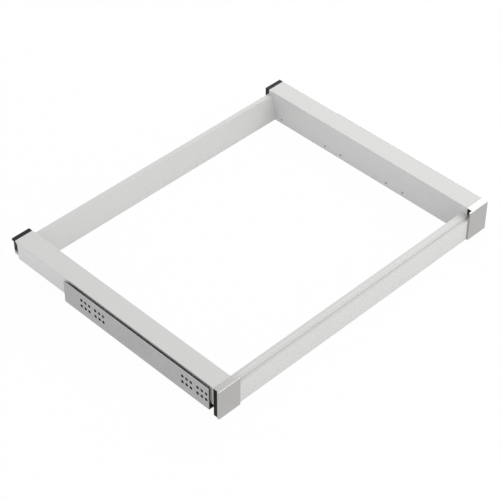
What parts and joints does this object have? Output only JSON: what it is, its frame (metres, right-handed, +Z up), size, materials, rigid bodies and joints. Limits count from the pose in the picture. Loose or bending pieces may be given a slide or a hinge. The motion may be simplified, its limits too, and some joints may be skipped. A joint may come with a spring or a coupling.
{
  "type": "pull out pantry frame",
  "caption": "Open rectangular pull-out frame with hooded side profiles over concealed ball runners, metal front caps and drilled cabinet plates.",
  "frame": {"origin": "middle of the underside of the whole part, on the level of the frame's lower edges", "axes": "+X across the width to the right, +Y to the back, +Z up; the frame pulls out along -Y"},
  "size_m": [0.6128, 0.468, 0.056],
  "materials": {
    "painted_aluminium": "fine light grey powder coat",
    "brushed_metal": "fine satin, bevelled edge",
    "black_plastic": "moulded, fine grain",
    "galvanised_steel": "galvanised sheet",
    "zinc_fasteners": "zinc plated",
    "cage_strip": "pressed strip",
    "bearing_steel": "polished"
  },
  "bodies": {
    "cabinet_rails": {"left_cabinet_plate": "galvanised_steel", "right_cabinet_plate": "galvanised_steel", "left_cabinet_channel": "galvanised_steel", "right_cabinet_channel": "galvanised_steel", "channel_rivets": "zinc_fasteners", "left_front_buffer": "black_plastic", "right_front_buffer": "black_plastic", "left_rear_buffer": "black_plastic", "right_rear_buffer": "black_plastic", "left_plate_liner": "black_plastic", "right_plate_liner": "black_plastic"},
    "frame": {"left_side_profile": "painted_aluminium", "right_side_profile": "painted_aluminium", "front_rail": "painted_aluminium", "rear_rail": "painted_aluminium", "left_front_insert": "black_plastic", "right_front_insert": "black_plastic", "left_front_cap": "brushed_metal", "right_front_cap": "brushed_metal", "left_rear_cap": "black_plastic", "right_rear_cap": "black_plastic", "left_frame_rail": "galvanised_steel", "right_frame_rail": "galvanised_steel", "front_rail_screws": "zinc_fasteners", "rear_rail_screws": "zinc_fasteners", "front_insert_screws": "zinc_fasteners", "rear_cap_screws": "zinc_fasteners"},
    "left_middle_member": {"left_middle_rail": "galvanised_steel", "left_middle_bumpers": "black_plastic"},
    "left_lower_bearing": {"left_lower_cage": "cage_strip", "left_lower_balls": "bearing_steel"},
    "left_upper_bearing": {"left_upper_cage": "cage_strip", "left_upper_balls": "bearing_steel"},
    "right_middle_member": {"right_middle_rail": "galvanised_steel", "right_middle_bumpers": "black_plastic"},
    "right_lower_bearing": {"right_lower_cage": "cage_strip", "right_lower_balls": "bearing_steel"},
    "right_upper_bearing": {"right_upper_cage": "cage_strip", "right_upper_balls": "bearing_steel"}
  },
  "joints": [
    {"name": "frame_slide", "type": "slide", "parent": "cabinet_rails", "child": "frame", "axis": [0, -1, 0], "range_m": [0, 0.3]},
    {"name": "left_middle_member_slide", "type": "slide", "parent": "cabinet_rails", "child": "left_middle_member", "axis": [0, -1, 0], "range_m": [0, 0.15]},
    {"name": "left_lower_bearing_slide", "type": "slide", "parent": "cabinet_rails", "child": "left_lower_bearing", "axis": [0, -1, 0], "range_m": [0, 0.075]},
    {"name": "left_upper_bearing_slide", "type": "slide", "parent": "cabinet_rails", "child": "left_upper_bearing", "axis": [0, -1, 0], "range_m": [0, 0.225]},
    {"name": "right_middle_member_slide", "type": "slide", "parent": "cabinet_rails", "child": "right_middle_member", "axis": [0, -1, 0], "range_m": [0, 0.15]},
    {"name": "right_lower_bearing_slide", "type": "slide", "parent": "cabinet_rails", "child": "right_lower_bearing", "axis": [0, -1, 0], "range_m": [0, 0.075]},
    {"name": "right_upper_bearing_slide", "type": "slide", "parent": "cabinet_rails", "child": "right_upper_bearing", "axis": [0, -1, 0], "range_m": [0, 0.225]}
  ],
  "couplings": [
    {"joint": "left_middle_member_slide", "follows": "frame_slide", "ratio": 0.5},
    {"joint": "left_lower_bearing_slide", "follows": "frame_slide", "ratio": 0.25},
    {"joint": "left_upper_bearing_slide", "follows": "frame_slide", "ratio": 0.75},
    {"joint": "right_middle_member_slide", "follows": "frame_slide", "ratio": 0.5},
    {"joint": "right_lower_bearing_slide", "follows": "frame_slide", "ratio": 0.25},
    {"joint": "right_upper_bearing_slide", "follows": "frame_slide", "ratio": 0.75}
  ]
}
